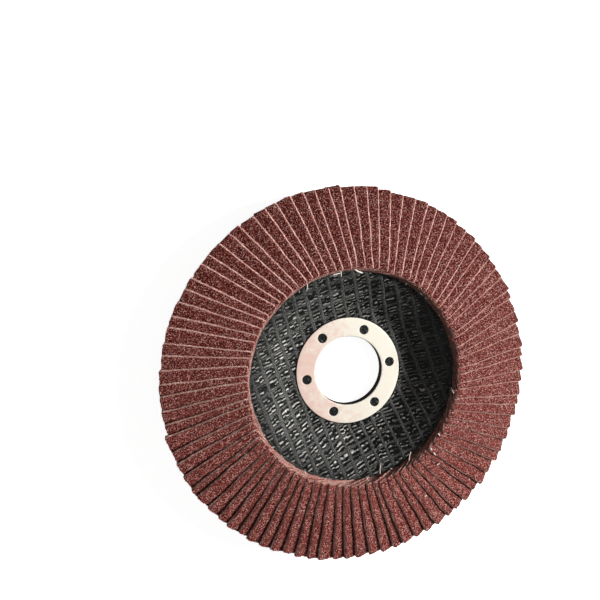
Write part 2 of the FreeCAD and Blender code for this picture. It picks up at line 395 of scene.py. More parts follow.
@dataclass(frozen=True)
class PlatedSteel:
    """Zinc plated steel, cream with rose blotches where the passivation is thicker."""

    cream: str = "#e3ddcf"
    rose: str = "#d9b6aa"
    worn: str = "#c9b9a8"
    # Colour of the ring below its bend.
    under_bend_black: str = "#0d0e0d"
    stain: str = "#4a211d"
    cloud: float = 0.0075
    mottle: float = 0.0016
    speck: float = 0.00035
    relief: float = 0.00003
    under_bend_top: float = 0.0026
    lip_top: float = 0.0027
    rose_side: float = 0.014

    def material(self) -> bpy.types.Material:
        """Tint the ring by slow and quick noise and towards one side; below its bend it is black, rough and
        not metallic.

        Returns:
            The material.
        """
        tree = FinishTree("plated_steel")
        place = tree.place()
        cloud = tree.noise(place, self.cloud, 4.0, 0.8)
        mottle = tree.noise(place, self.mottle, 4.0, 0.4)
        fleck = tree.noise(place, self.speck, 2.0)
        x, _, level = tree.axes(place)
        tint = cloud * 0.4 + mottle * 0.45 + x.step(self.rose_side, -self.rose_side) * 0.3
        colour = tree.mix(tint.step(0.48, 0.84) * 0.85, self.cream, self.rose)
        colour = tree.mix(fleck.step(0.62, 0.8) * 0.25, colour, self.worn)
        # Below the bend the ring is black, rough and not metallic.
        bare = level.step(self.under_bend_top - 0.0001, self.under_bend_top + 0.0001)
        lip = level.step(self.lip_top, self.lip_top - 0.00008) * fleck.step(0.46, 0.56)
        colour = tree.mix(lip * 0.7, colour, self.stain)
        colour = tree.mix(bare, self.under_bend_black, colour)
        height = mottle * 0.7 + fleck * 0.3
        rough = 0.95 - bare * (0.5 - mottle * 0.2)
        return tree.dress(Base_Color=colour, Roughness=rough, Metallic=bare * 0.12,
                          Specular_IOR_Level=0.12, Normal=tree.bump(height, self.relief, 0.6))


@dataclass(frozen=True)
class HardResin:
    """Grey-black hardened resin, of the adhesive and of the plugs in the key holes."""

    name: str
    lump: float = 0.0009
    grain: float = 0.00042
    relief: float = 0.00025
    body: str = "#2e3533"
    dark: str = "#0e100f"
    fleck: str = "#9aa39e"
    fleck_share: float = 0.2
    roughness: float = 0.3

    def material(self) -> bpy.types.Material:
        """Mix dark and body colour by the lumps, and add pale flecks in the cells with the largest numbers.

        Returns:
            The material.
        """
        tree = FinishTree(self.name)
        place = tree.place()
        lumps = tree.noise(place, self.lump, 4.0, 0.4)
        distance, own = tree.grains(place, self.grain)
        flecks = own.step(1 - self.fleck_share, 1.0) * distance.step(0.55, 0.2)
        colour = tree.mix(lumps.step(0.3, 0.7), self.dark, self.body)
        colour = tree.mix(flecks * 0.8, colour, self.fleck)
        rough = self.roughness + lumps * 0.25
        return tree.dress(Base_Color=colour, Roughness=rough, Specular_IOR_Level=0.1,
                          Normal=tree.bump(lumps, self.relief, 0.8))


@dataclass(frozen=True)
class CottonThread:
    """Off-white thread, loose from a cut edge of the cloth."""

    spin: float = 0.00018
    relief: float = 0.00006
    light: str = "#fdf6ec"
    shade: str = "#dcc6b8"

    def material(self) -> bpy.types.Material:
        """Mix shade and light by the fuzz of a spun thread, which is fine noise.

        Returns:
            The material.
        """
        tree = FinishTree("cotton_thread")
        place = tree.place()
        fuzz = tree.noise(place, self.spin, 3.0)
        colour = tree.mix(fuzz, self.shade, self.light)
        return tree.dress(Base_Color=colour, Roughness=0.85, Normal=tree.bump(fuzz, self.relief, 0.7))


class SmoothNoise:
    """Seeded noise on a lattice: random numbers at whole places, blended by a cubic between them.

    A caller that adds a number to both coordinates reads another stretch of the lattice.
    """

    def __init__(self, seed: int) -> None:
        """Fill the lattice."""
        self.table = np.random.default_rng(seed).random((256, 256))

    def __call__(self, across: np.ndarray, along: np.ndarray, cell: float) -> np.ndarray:
        """Noise at places.

        Args:
            across: First coordinate of each place.
            along: Second coordinate.
            cell: Spacing of the lattice, in the same unit.

        Returns:
            Numbers from 0 to 1.
        """
        x, y = np.broadcast_arrays(across / cell, along / cell)
        i, j = np.floor(x).astype(int), np.floor(y).astype(int)
        fx, fy = x - i, y - j
        sx, sy = fx * fx * (3 - 2 * fx), fy * fy * (3 - 2 * fy)
        near = self.table[i & 255, j & 255] * (1 - sy) + self.table[i & 255, (j + 1) & 255] * sy
        far = self.table[(i + 1) & 255, j & 255] * (1 - sy) + self.table[(i + 1) & 255, (j + 1) & 255] * sy
        return near * (1 - sx) + far * sx


def rise(value: np.ndarray, low: float, high: float) -> np.ndarray:
    """Smooth step from 0 at low to 1 at high: 3 t^2 - 2 t^3 of the clamped share of the way."""
    share = np.clip((value - low) / (high - low), 0, 1)
    return share * share * (3 - 2 * share)


def round_angles(count: int) -> np.ndarray:
    """Equal angles of a full turn in radians: 2 pi k / count, without the first repeated."""
    return np.linspace(0, 2 * math.pi, count, endpoint=False)


def grid_faces(rows: int, columns: int, close_rows: bool = False, close_columns: bool = False) -> np.ndarray:
    """Quadrangles between neighbouring points of a grid stored row by row.

    Args:
        rows: Number of rows of points.
        columns: Points in each row.
        close_rows: Whether the last row joins the first.
        close_columns: Whether each row is a ring.

    Returns:
        Indices, four to a face.
    """
    i = np.arange(rows if close_rows else rows - 1)[:, None]
    j = np.arange(columns if close_columns else columns - 1)[None, :]
    below, above = i * columns, (i + 1) % rows * columns
    right = (j + 1) % columns
    return np.stack([below + j, below + right, above + right, above + j], axis=-1).reshape(-1, 4)


@dataclass
class Shell:
    """Closed surface: points in millimetres, blocks of faces with equal numbers of corners, attributes."""

    points: np.ndarray
    faces: list[np.ndarray]
    attributes: dict[str, tuple[Domain, np.ndarray]] = field(default_factory=dict)

    def volume(self) -> float:
        """Signed volume: a sixth of the sum of corner products over the faces' fans of triangles.

        Returns:
            Cubic millimetres, negative where the faces point inwards.
        """
        total = 0.0
        for block in self.faces:
            first = self.points[block[:, 0]]
            for corner in range(1, block.shape[1] - 1):
                second, third = self.points[block[:, corner]], self.points[block[:, corner + 1]]
                total += float(np.einsum("ij,ij->", first, np.cross(second, third)))
        return total / 6

    def outward(self) -> "Shell":
        """Turn the faces outwards where the volume is negative.

        Returns:
            The same shell.
        """
        if self.volume() < 0:
            self.faces = [block[:, ::-1] for block in self.faces]
        return self

    def piece(self, name: str, slot: Slot, finish: bpy.types.Material, stands_for: Iterable[str] = (),
              crease: float = 40.0) -> bpy.types.Object:
        """Make the mesh and its object, and tie them to the frame.

        Args:
            name: Name of the piece.
            slot: Slot of the record that its finish belongs to; not used.
            finish: Its material.
            stands_for: Solids that it is shown in place of.
            crease: Angle in degrees past which an edge stays sharp.

        Returns:
            The new object.
        """
        mesh = bpy.data.meshes.new(name)
        mesh.vertices.add(len(self.points))
        mesh.vertices.foreach_set("co", (self.points * MILLIMETRE).astype(np.float32).ravel())
        corners = np.concatenate([block.ravel() for block in self.faces])
        totals = np.concatenate([np.full(len(block), block.shape[1]) for block in self.faces])
        mesh.loops.add(len(corners))
        mesh.loops.foreach_set("vertex_index", corners.astype(np.int32))
        mesh.polygons.add(len(totals))
        mesh.polygons.foreach_set("loop_start", (np.cumsum(totals) - totals).astype(np.int32))
        mesh.update(calc_edges=True)
        mesh.validate()
        for label, (domain, numbers) in self.attributes.items():
            layer = mesh.attributes.new(label, "FLOAT", domain.value)
            layer.data.foreach_set("value", numbers.astype(np.float32))
        mesh.polygons.foreach_set("use_smooth", np.ones(len(mesh.polygons), dtype=bool))
        mesh.set_sharp_from_angle(angle=math.radians(crease))
        mesh.materials.append(finish)
        piece = bpy.data.objects.new(name, mesh)
        bpy.context.scene.collection.objects.link(piece)
        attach(piece, BODY)
        if stands_for:
            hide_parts(*stands_for)
        triangles = int((totals - 2).sum())
        log.info("%s: %d triangles", name, triangles)
        return piece


def joined(shells: Sequence[Shell]) -> Shell:
    """One shell of several, with their indices moved on and their attributes put end to end.

    Args:
        shells: Shells that all have the same attributes.

    Returns:
        The joined shell.
    """
    starts = np.cumsum([0] + [len(shell.points) for shell in shells[:-1]])
    faces = [block + start for shell, start in zip(shells, starts) for block in shell.faces]
    attributes = {}
    for label, (domain, _) in shells[0].attributes.items():
        attributes[label] = (domain, np.concatenate([shell.attributes[label][1] for shell in shells]))
    return Shell(np.concatenate([shell.points for shell in shells]), faces, attributes)


def capped(rings: np.ndarray) -> Shell:
    """Closed shell through rings of points, with one flat face at each end.

    Args:
        rings: Points by ring and by place round it.

    Returns:
        The shell, with its faces turned outwards.
    """
    count, size = rings.shape[:2]
    ends = np.stack([np.arange(size)[::-1], (count - 1) * size + np.arange(size)])
    return Shell(rings.reshape(-1, 3), [grid_faces(count, size, close_columns=True), ends]).outward()


def turned_grid(profile: np.ndarray, azimuths: np.ndarray) -> np.ndarray:
    """Points of a turned surface: each profile point (radius, height) goes to (r cos a, r sin a, z).

    Args:
        profile: Radius and height of each row.
        azimuths: Angle of each column, in radians.

    Returns:
        Points by row and column.
    """
    radius, height = profile[:, 0, None], profile[:, 1, None]
    return np.stack([radius * np.cos(azimuths), radius * np.sin(azimuths),
                     np.broadcast_to(height, (len(profile), len(azimuths)))], axis=-1)


@dataclass(frozen=True)
class Bend:
    """Corner of a turned section: radius, height, rounding, and spacing of rows on the way to the next."""

    radius: float
    height: float
    rounding: float = 0.0
    spacing: float = 0.5

    @property
    def point(self) -> np.ndarray:
        """Place of the corner in its section."""
        return np.array([self.radius, self.height])


def section(bends: Sequence[Bend]) -> np.ndarray:
    """Closed outline with rounded corners, sampled at each stretch's own spacing.

    A rounding of radius q between directions that meet at the angle 2 h starts q / tan h from the corner,
    and its centre lies q / sin h away on the line that halves the angle.

    Args:
        bends: Corners in their order.

    Returns:
        Radius and height of each point, without the first repeated at the end.
    """
    ends, arcs = [], []
    for before, bend, after in zip(bends[-1:] + bends[:-1], bends, bends[1:] + bends[:1]):
        back = before.point - bend.point
        onward = after.point - bend.point
        back, onward = back / np.linalg.norm(back), onward / np.linalg.norm(onward)
        half = math.acos(float(np.clip(back @ onward, -1, 1))) / 2
        if bend.rounding == 0:
            ends.append((bend.point, bend.point))
            arcs.append(bend.point[None])
            continue
        cut = bend.rounding / math.tan(half)
        middle = (back + onward) / np.linalg.norm(back + onward)
        centre = bend.point + middle * bend.rounding / math.sin(half)
        first, last = bend.point + back * cut - centre, bend.point + onward * cut - centre
        sweep = math.pi - 2 * half
        steps = max(3, math.ceil(bend.rounding * sweep / min(bend.spacing, before.spacing)) + 1)
        share = np.linspace(0, 1, steps)[:, None]
        arc = (first * np.sin((1 - share) * sweep) + last * np.sin(share * sweep)) / math.sin(sweep)
        ends.append((centre + first, centre + last))
        arcs.append(centre + arc)
    rows = []
    for index, bend in enumerate(bends):
        rows.append(arcs[index])
        start, stop = ends[index][1], ends[(index + 1) % len(bends)][0]
        steps = max(1, math.ceil(float(np.linalg.norm(stop - start)) / bend.spacing))
        rows.append(start + (stop - start) * np.linspace(0, 1, steps + 1)[1:-1, None])
    return np.concatenate(rows)


@dataclass
class FlapRing:
    """Ring of coated cloth flaps, each laid in the place of its own solid.

    A field that ends in cell is the spacing of a noise, in reach the distance in which an effect fades,
    and in limit the most that a random difference may be.
    """

    nodes: Sequence[str]
    rows: int = 84
    shown_width: float = 5.0
    shown_columns: int = 17
    grain_relief: float = 0.045
    grain_limit: float = 0.09
    swell: float = 0.05
    swell_cell: float = 2.6
    fray: float = 0.09
    fray_cell: float = 0.55
    fray_reach: float = 0.5
    tear_cell: float = 0.5
    edge_lint: float = 0.05
    end_lint: float = 0.03
    wander: float = 0.16
    wander_cell: float = 6.0
    slide: float = 0.2
    slide_limit: float = 0.4
    skew_degrees: float = 0.42
    skew_limit: float = 0.8
    spare_length: float = 0.18
    spare_foot: float = 0.1
    dip: float = 0.3
    sag: float = 0.25
    ease: float = 0.12
    ease_reach: float = 1.1
    round_off: float = 0.43
    loft: float = 0.42
    trim: float = 0.15
    arris: float = 0.23
    corner: float = 0.25
    corner_reach: float = 1.5
    curl: float = 0.05
    curl_limits: tuple[float, float] = (-0.06, 0.2)
    corner_wear: float = 0.32
    foot_reach: float = 0.7
    rim_reach: float = 0.5
    nose: float = 0.38
    nose_reach: float = 0.35
    nose_paleness: float = 0.45
    seed: int = 7

    def places(self, node: str) -> list[tuple[np.ndarray, np.ndarray, np.ndarray]]:
        """Read the boxes of one solid's flaps from its mesh.

        The mesh is loose triangles, so equal corners are joined, a label spreads over each box's
        triangles, and the singular vectors of a box's eight corners are its edges' directions.

        Args:
            node: Name of the solid.

        Returns:
            For each flap its corner at the inner end of the raised edge, its directions along the seat,
            across to the root and up, as rows, and its three sizes.
        """
        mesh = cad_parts[node].data
        raw = np.zeros(len(mesh.vertices) * 3, np.float32)
        mesh.vertices.foreach_get("co", raw)
        corners = np.zeros(len(mesh.loops), np.int32)
        mesh.loops.foreach_get("vertex_index", corners)
        spots, index = np.unique(np.round(raw.reshape(-1, 3) / MILLIMETRE, 3), axis=0, return_inverse=True)
        triangles = index.ravel()[corners].reshape(-1, 3)
        labels = np.arange(len(spots))
        for _ in range(8):
            lowest = labels[triangles].min(axis=1)
            np.minimum.at(labels, triangles.ravel(), np.repeat(lowest, 3))
        boxes = [self.box(spots[labels == label]) for label in np.unique(labels)]
        return sorted(boxes, key=lambda place: math.atan2(place[0][1], place[0][0]))

    def box(self, corners: np.ndarray) -> tuple[np.ndarray, np.ndarray, np.ndarray]:
        """Read a box from its corners, whose singular vectors are its edges' directions, longest first.

        Args:
            corners: The eight corners.

        Returns:
            Its least corner, its directions as rows and its sizes.
        """
        centre = corners.mean(axis=0)
        directions = np.linalg.svd(corners - centre)[2]
        along, up = directions[0], directions[2]
        along = along * np.sign(along @ (centre * [1, 1, 0]))
        up = up * np.sign(up[2])
        axes = np.stack([along, np.cross(up, along), up])
        reach = (corners - centre) @ axes.T
        return centre + reach.min(axis=0) @ axes, axes, np.ptp(reach, axis=0)

    def section(self, width: float, thick: float) -> tuple[np.ndarray, np.ndarray]:
        """Closed loop round the cloth's section: over the coated face from the raised edge, down the root,
        back under, and up the cut edge.

        Args:
            width: Width of the cloth.
            thick: Its thickness.

        Returns:
            Places across and heights of the loop's points, each as one row.
        """
        shown = np.insert(np.linspace(0, self.shown_width, self.shown_columns), 1, self.arris)
        top = np.concatenate([shown, [self.shown_width + 1.8, width - 2, width]])
        under = np.array([width, width * 0.6, width * 0.3, 0.9, 0.0])
        edge = np.array([0.34, 0.68]) * thick
        across = np.concatenate([top, under, 0 * edge])
        return across[None], np.concatenate([np.full(len(top), thick), 0 * under, edge])[None]

    def marks(self, height: np.ndarray, thick: float) -> dict[str, np.ndarray]:
        """Finishes of the flap's faces, which lie row by row round the section and then at both ends.

        Args:
            height: Heights of the section's points.
            thick: Thickness of the cloth.

        Returns:
            For "coated", "cut" and "end" each face's share. The slant counts as cut, and the nose partly.
        """
        above, below = height[0] == thick, height[0] == 0
        coated = above & np.roll(above, -1)
        root = above & np.roll(below, -1)
        raised = ~(coated | root | below & np.roll(below, -1))
        raised[0] = True
        coated, root, raised = (np.tile(part, self.rows - 1) for part in (coated, root, raised))
        nose = coated & (np.arange(len(coated)) < height.shape[1])
        marks = {"coated": coated, "cut": np.maximum(raised, nose * self.nose_paleness), "end": root}
        return {label: np.append(mark, [label == "end"] * 2).astype(float) for label, mark in marks.items()}

    def flap(self, place: tuple[np.ndarray, np.ndarray, np.ndarray], random: np.random.Generator,
             noise: SmoothNoise) -> Shell:
        """Mesh of one flap: its section carried along it, with points (u, v, w) along, across and up.

        The coated face gets grain and swell. Towards the raised edge it falls by two exponentials of v,
        which makes the cut edge a slant of about 60 degrees, and towards the inner end by one of u, which
        makes a nose. The edge is set back by noise and by wear, a bell curve of the distance from each end.
        The cloth sags from the root to the raised edge, and as flaps fan apart on the way out, its
        underside lofts until it lies on the flap below. Last, the flap is skewed and slid.

        Args:
            place: Corner, directions and sizes of the flap's box.
            random: Source of the flap's own differences.
            noise: Lattice for its edges and swell.

        Returns:
            Shell with the face attributes "coated", "cut" and "end", and "level" of its points.
        """
        corner, axes, (length, width, thick) = place
        v, w = self.section(width, thick)
        marks = self.marks(w, thick)
        share = np.linspace(0, 1, self.rows)[:, None]
        here = float(random.uniform(0, 200))
        stretch = length - self.trim + float(random.normal(0, self.spare_length))
        inner = float(random.normal(0, self.spare_foot))
        u = inner + share * (stretch - self.corner * np.exp(-v / self.corner_reach) - inner)
        face = (w == thick) & (v < self.shown_width)
        grain = random.normal(0, self.grain_relief, u.shape).clip(-self.grain_limit, self.grain_limit)
        swell = self.swell * (noise(u + here, v + here, self.swell_cell) - 0.5) * 2
        eased = self.round_off * np.exp(-1.25 * v / self.arris) + self.ease * np.exp(-v / self.ease_reach)
        lift = w - eased * w / thick + face * (grain + swell) * rise(v, 0, 0.4)
        lift = lift - self.loft * share * (1 - v / width) * (1 - w / thick)
        lift = lift - self.nose * np.exp(-share * length / self.nose_reach) * (w == thick)
        wear = self.corner_wear * random.uniform(0.3, 1.5, 2)
        at_foot = np.exp(-(share * length / self.foot_reach) ** 2)
        at_rim = np.exp(-((1 - share) * length / self.rim_reach) ** 2)
        worn = wear[0] * at_foot + 0.5 * wear[1] * at_rim
        jag = self.fray * (noise(u + here, w * 0.3, self.fray_cell) - 0.5) * 2
        jag = jag + self.edge_lint * random.normal(0, 1, u.shape)
        wander = self.wander * (noise(u + here, 0 * v, self.wander_cell) - 0.5) * 2
        v = v + (jag + worn + wander) * np.exp(-v / self.fray_reach)
        torn = self.fray * (noise(v + here, w + here, self.tear_cell) - 0.5) * 2
        torn = torn + self.end_lint * random.normal(0, 1, u.shape)
        u = u + torn * ((share == 0) * 1.0 + (share == 1) * 1.5)
        curl = float(np.clip(random.normal(0, self.curl), *self.curl_limits))
        sink = self.dip + (self.sag - self.dip) * share
        lift = lift - sink * (1 - v / width) + curl * share**2 * (1 - v / width) ** 2
        degrees = float(np.clip(random.normal(0, self.skew_degrees), -self.skew_limit, self.skew_limit))
        skew = math.radians(degrees)
        slip = float(np.clip(random.normal(0, self.slide), -self.slide_limit, self.slide_limit))
        placed = np.stack([u + skew * (v - width), v - skew * u + slip, lift], axis=-1)
        shell = capped(corner + placed @ axes)
        shell.attributes = {label: (Domain.FACE, mark) for label, mark in marks.items()}
        shell.attributes["level"] = (Domain.POINT, np.broadcast_to(w / thick, u.shape).ravel())
        return shell

    def build(self, finish: bpy.types.Material) -> list[bpy.types.Object]:
        """Make one piece for each pair of flaps.

        Args:
            finish: Material of the flaps.

        Returns:
            The pieces.
        """
        random = np.random.default_rng(self.seed)
        noise = SmoothNoise(self.seed + 1)
        pieces = []
        for node in self.nodes:
            pair = joined([self.flap(place, random, noise) for place in self.places(node)])
            pieces.append(pair.piece("cloth_" + node, Slot.CLOTH, finish, [node]))
        return pieces


@dataclass
class FibreMesh:
    """Relief of the plate's glass fibre mesh: strands both ways, and fine threads that cross the windows."""

    turn_degrees: float = 11.0
    warp_pitch: float = 3.95
    weft_pitch: float = 3.5
    warp_half_width: float = 0.46
    weft_half_width: float = 0.3
    warp_height: float = 0.22
    weft_height: float = 0.12
    warp_wander: float = 0.55
    weft_wander: float = 0.7
    weft_share: float = 0.8
    rib_pitch: float = 1.15
    rib_height: float = 0.3
    lumps: float = 0.12
    depth: float = 0.1
    seed: int = 31

    def relief(self, x: np.ndarray, y: np.ndarray) -> tuple[np.ndarray, np.ndarray, np.ndarray]:
        """Height of the mesh over the plate's own surface.

        With a across and b along the warp, a strand's section is a smooth step down from its middle, its
        middle wanders with slow noise, and the higher of the two strands shows. In the windows between
        them, ribs follow the cosine of b with a phase that noise shifts from window to window.

        Args:
            x: Place in the part's frame, in millimetres.
            y: The other coordinate.

        Returns:
            Height in millimetres, then the shares of strand and of rib, from 0 to 1.
        """
        turn = math.radians(self.turn_degrees)
        a = x * math.cos(turn) + y * math.sin(turn)
        b = -x * math.sin(turn) + y * math.cos(turn)
        slow, quick = SmoothNoise(self.seed), SmoothNoise(self.seed + 1)
        a = a + self.warp_wander * (slow(a + 300, b + 300, 6.0) - 0.5)
        b = b + self.weft_wander * (slow(b + 500, a + 500, 5.0) - 0.5)
        from_warp = np.abs((a / self.warp_pitch) % 1 - 0.5) * self.warp_pitch
        from_weft = np.abs((b / self.weft_pitch) % 1 - 0.5) * self.weft_pitch
        thick = 0.62 + 0.5 * slow(a + 100, b + 700, 3.0) + 0.35 * quick(a + 15, b + 27, 0.8)
        warp = rise(from_warp, self.warp_half_width * thick * 1.5, self.warp_half_width * thick * 0.6)
        weft = rise(from_weft, self.weft_half_width * thick * 1.5, self.weft_half_width * thick * 0.6)
        strand = np.maximum(warp, weft * self.weft_share)
        phase = 0.9 * quick(np.floor(a / self.warp_pitch) * 3.1, b, 1.9) + 0.3 * quick(a + 7, b + 3, 1.1)
        wave = (0.5 + 0.5 * np.cos(2 * math.pi * b / self.rib_pitch + 2 * math.pi * phase)) ** 1.5
        rib = wave * (0.35 + 0.65 * rise(quick(a + 40, b + 90, 0.8), 0.15, 0.6))
        height = np.maximum(warp * self.warp_height, weft * self.weft_height)
        height += (1 - strand) * (rib * self.rib_height + self.lumps * (quick(a, b, 0.5) - 0.5)) - self.depth
        return height, strand, rib


@dataclass
class BackingPlate:
    """Dished plate of resin and glass fibre, turned from its section, with the mesh in relief."""

    bore: float = 11.765
    ring_seat: float = 17.25
    seat_floor: float = 2.15
    hub: float = 2.4
    hub_flat: float = 20.5
    crest: float = 29.5
    crest_height: float = 9.05
    rim: float = 54.0
    sheet: float = 2.0
    face_degrees: float = 6.6
    foot: float = 31.6
    foot_rise: float = 1.0
    foot_end: float = 33.3
    back_relief: float = 0.6
    columns: int = 560
    mesh: FibreMesh = field(default_factory=FibreMesh)

    def seat(self, radius: float) -> float:
        """Height of the conical seat: the crest's, less the way out times the slope."""
        return self.crest_height - (radius - self.crest) * math.tan(math.radians(self.face_degrees))

    def bends(self) -> list[Bend]:
        """Corners of the section, from the bore along the back to the rim and home over the front.

        A corner of the back is the front's, moved a sheet's thickness in along the line that halves it.

        Returns:
            The corners in their order.
        """
        face = math.radians(self.face_degrees)
        wall = math.atan((self.crest_height - self.hub) / (self.crest - self.hub_flat))
        mitre = self.sheet / (1 + math.cos(wall + face))
        hub_back = self.hub_flat + self.sheet * math.tan(wall / 2) - (self.hub - self.sheet) / math.tan(wall)
        crest_back = self.crest + mitre * (math.sin(wall) - math.sin(face))
        crest_back_height = self.crest_height - mitre * (math.cos(wall) + math.cos(face))
        rim_back = self.seat(self.rim) - self.sheet / math.cos(face)
        return [
            Bend(self.bore, 0.0, spacing=0.6),
            Bend(hub_back, 0.0, 7.0, spacing=0.6),
            Bend(crest_back, crest_back_height, 4.0, spacing=0.65),
            Bend(self.rim, rim_back, spacing=0.7),
            Bend(self.rim, self.seat(self.rim), spacing=3.0),
            Bend(self.foot_end, self.seat(self.foot_end), spacing=0.5),
            Bend(self.foot_end - 0.1, self.seat(self.foot_end) + self.foot_rise, spacing=0.28),
            Bend(self.foot, self.seat(self.foot) + self.foot_rise, 1.5, spacing=0.26),
            Bend(self.crest, self.crest_height, 6.0, spacing=0.26),
            Bend(self.hub_flat, self.hub, 5.0, spacing=0.26),
            Bend(self.ring_seat, self.hub, spacing=0.3),
            Bend(self.ring_seat, self.seat_floor, spacing=3.0),
            Bend(self.bore, self.seat_floor, spacing=1.2),
        ]

    def build(self, finish: bpy.types.Material) -> bpy.types.Object:
        """Turn the section, and raise each point along the section's normal by the mesh's relief.

        The relief fades out at the ring's seat, at the bore, at the rim and under the flaps, and it is
        lower on the back. Inside the flaps the mesh climbs over the end of the adhesive to their feet.

        Args:
            finish: Material of the plate.

        Returns:
            The piece.
        """
        profile = section(self.bends())
        tangent = np.roll(profile, -1, axis=0) - np.roll(profile, 1, axis=0)
        tangent /= np.linalg.norm(tangent, axis=1)[:, None]
        azimuths = round_angles(self.columns)
        points = turned_grid(profile, azimuths)
        height, strand, rib = self.mesh.relief(points[..., 0], points[..., 1])
        radius = profile[:, 0]
        between = [1.2, 1.4, 7.4, self.seat(self.rim) - 1]
        front = profile[:, 1] > np.interp(radius, [self.bore, self.hub_flat, self.crest, self.rim], between)
        shown_front = rise(radius, self.ring_seat, self.ring_seat + 0.5)
        shown_front *= rise(radius, self.foot_end, self.foot_end - 0.4)
        shown_back = rise(radius, self.bore + 0.2, self.bore + 1.4)
        shown_back *= rise(radius, self.rim - 0.1, self.rim - 1.5)
        shown = np.where(front, shown_front, shown_back)[:, None]
        lift = height * shown * np.where(front, 1.0, self.back_relief)[:, None]
        normal_radius, normal_height = tangent[:, 1, None] * lift, -tangent[:, 0, None] * lift
        x, y = normal_radius * np.cos(azimuths), normal_radius * np.sin(azimuths)
        points += np.stack([x, y, normal_height], axis=-1)
        points[..., 2] = np.maximum(points[..., 2], 0.0)
        faces = [grid_faces(len(profile), self.columns, close_rows=True, close_columns=True)]
        attributes = {"strand": (Domain.POINT, (strand * shown).ravel()),
                      "rib": (Domain.POINT, (rib * shown).ravel())}
        shell = Shell(points.reshape(-1, 3), faces, attributes).outward()
        return shell.piece("mesh_plate", Slot.RESIN, finish, ["backing_plate"], crease=60.0)


@dataclass
class KeyPlugs:
    """Resin that fills the ring's key holes, a little below its face."""

    count: int = 6
    circle: float = 13.975
    radius: float = 1.45
    foot: float = 2.1
    face: float = 2.58
    sag: float = 0.1
    lumps: float = 0.16
    lump_cell: float = 0.8
    columns: int = 30
    seed: int = 53

    def build(self, finish: bpy.types.Material) -> bpy.types.Object:
        """Make the plugs: discs that rise by the fourth power of the way out, with lumps, on a flat foot.

        Args:
            finish: Material of the resin.

        Returns:
            The piece.
        """
        noise = SmoothNoise(self.seed)
        azimuths = round_angles(self.columns)
        share = np.array([0.04, 0.2, 0.4, 0.6, 0.78, 0.9, 1.0])[:, None]
        shells = []
        for turn in round_angles(self.count):
            x = self.circle * math.cos(turn) + self.radius * share * np.cos(azimuths)
            y = self.circle * math.sin(turn) + self.radius * share * np.sin(azimuths)
            lumps = self.lumps * (noise(x + 60, y + 60, self.lump_cell) - 0.5)
            top = np.stack([x, y, self.face + self.sag * (share**4 - 0.5) + lumps], axis=-1)
            foot = top[::-1] * [1, 1, 0] + [0, 0, self.foot]
            shells.append(capped(np.concatenate([top, foot])))
        return joined(shells).piece("key_plugs", Slot.RESIN, finish, ["backing_plate"])


